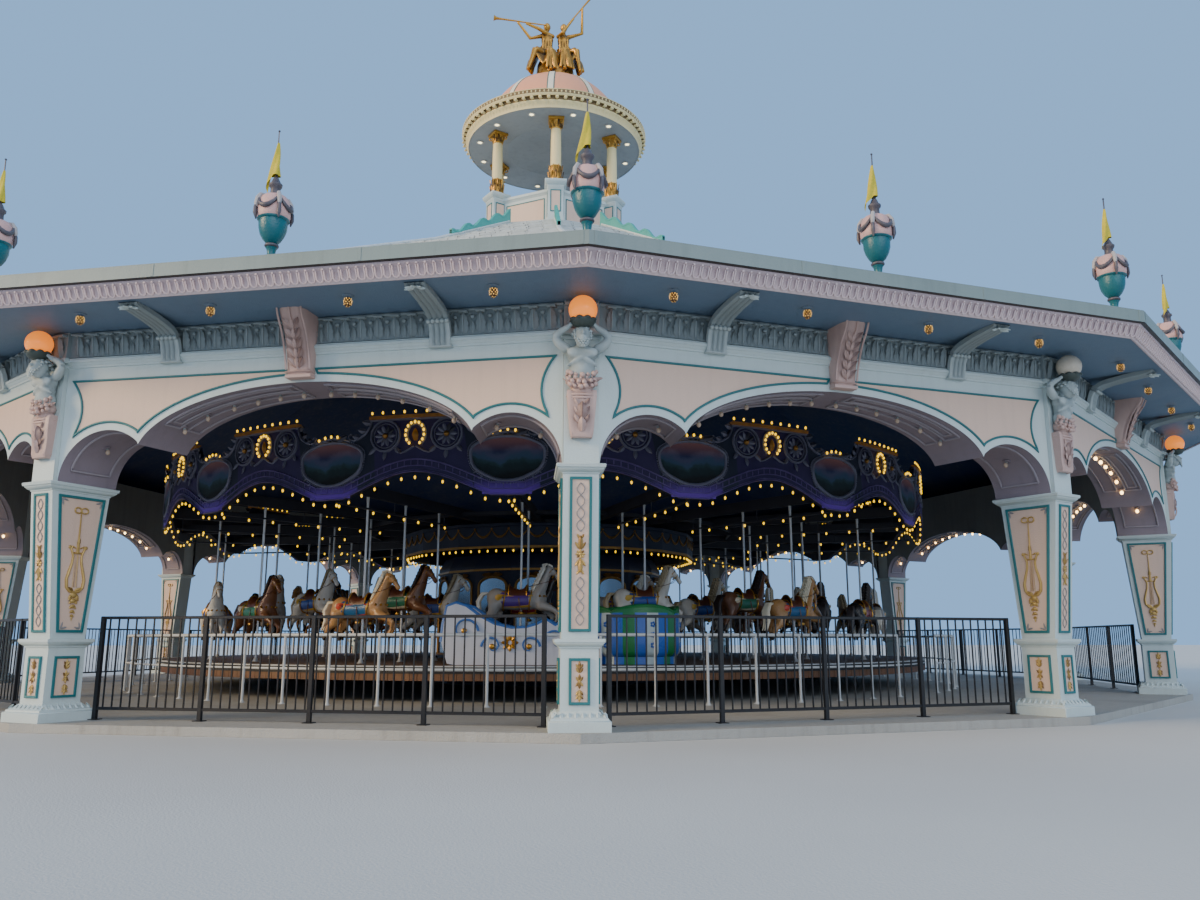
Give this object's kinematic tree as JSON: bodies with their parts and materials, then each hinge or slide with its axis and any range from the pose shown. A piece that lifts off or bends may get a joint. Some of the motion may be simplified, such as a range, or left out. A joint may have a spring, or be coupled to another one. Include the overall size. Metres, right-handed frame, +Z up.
{
  "type": "fairground carousel in a twelve-sided pavilion",
  "caption": "Open twelve-sided pavilion with arched bays, corner columns, urns and a domed lantern, around a turning carousel ride with horses on poles.",
  "frame": {"origin": "middle of the floor slab's underside, on the axis that the ride turns about", "axes": "+Z up; -Y towards the corner column that faces the picture; +X to that view's right"},
  "size_m": [28.1, 28.1, 17.8372],
  "materials": {
    "concrete": "rough cast concrete",
    "mint_paint": "satin masonry paint, pale mint",
    "fascia_metal": "folded sheet metal, grey green",
    "roof_boards": "pale roof shingles",
    "cream_paint": "satin cream paint",
    "pink_paint": "satin dusty pink paint",
    "gold_leaf": "gold leaf",
    "white_pipe": "painted pipe",
    "dark_panels": "dark blue painted panels",
    "machine_steel": "machined steel",
    "deck_wood": "varnished boards",
    "chariot_paint": "gloss paint on carved wood",
    "tub_paint": "gloss paint on carved wood",
    "violet_boards": "gloss paint on boards",
    "fence_iron": "black paint on iron",
    "ride_paint": "gloss paint on carved wood"
  },
  "bodies": {
    "pavilion": {"floor_slab": "concrete", "column_01": "mint_paint", "column_02": "mint_paint", "column_03": "mint_paint", "column_04": "mint_paint", "column_05": "mint_paint", "column_06": "mint_paint", "column_07": "mint_paint", "column_08": "mint_paint", "column_09": "mint_paint", "column_10": "mint_paint", "column_11": "mint_paint", "column_12": "mint_paint", "arch_01": "mint_paint", "arch_02": "mint_paint", "arch_03": "mint_paint", "arch_04": "mint_paint", "arch_05": "mint_paint", "arch_06": "mint_paint", "arch_07": "mint_paint", "arch_08": "mint_paint", "arch_09": "mint_paint", "arch_10": "mint_paint", "arch_11": "mint_paint", "arch_12": "mint_paint", "fence_01": "fence_iron", "fence_03": "fence_iron", "fence_04": "fence_iron", "fence_05": "fence_iron", "fence_06": "fence_iron", "fence_07": "fence_iron", "fence_08": "fence_iron", "fence_09": "fence_iron", "fence_10": "fence_iron", "fence_11": "fence_iron", "fence_12": "fence_iron", "eave": "fascia_metal", "roof": "roof_boards", "lantern": "mint_paint", "lantern_canopy": "cream_paint", "dome": "pink_paint", "trumpeters": "gold_leaf", "queue_railing": "white_pipe", "centre_housing": "dark_panels", "mast": "machine_steel"},
    "ride": {"hub": "machine_steel", "deck": "deck_wood", "sweeps_1": "ride_paint", "sweeps_2": "ride_paint", "sweeps_3": "ride_paint", "sweeps_4": "ride_paint", "sweeps_5": "ride_paint", "sweeps_6": "ride_paint", "chariot": "chariot_paint", "tub": "tub_paint", "rounding_boards": "violet_boards", "inner_boards": "violet_boards"}
  },
  "joints": [
    {"name": "ride_spin", "type": "hinge", "parent": "pavilion", "child": "ride", "pos_m": [0, 0, 3.65], "axis": [0, 0, 1], "continuous": true}
  ]
}
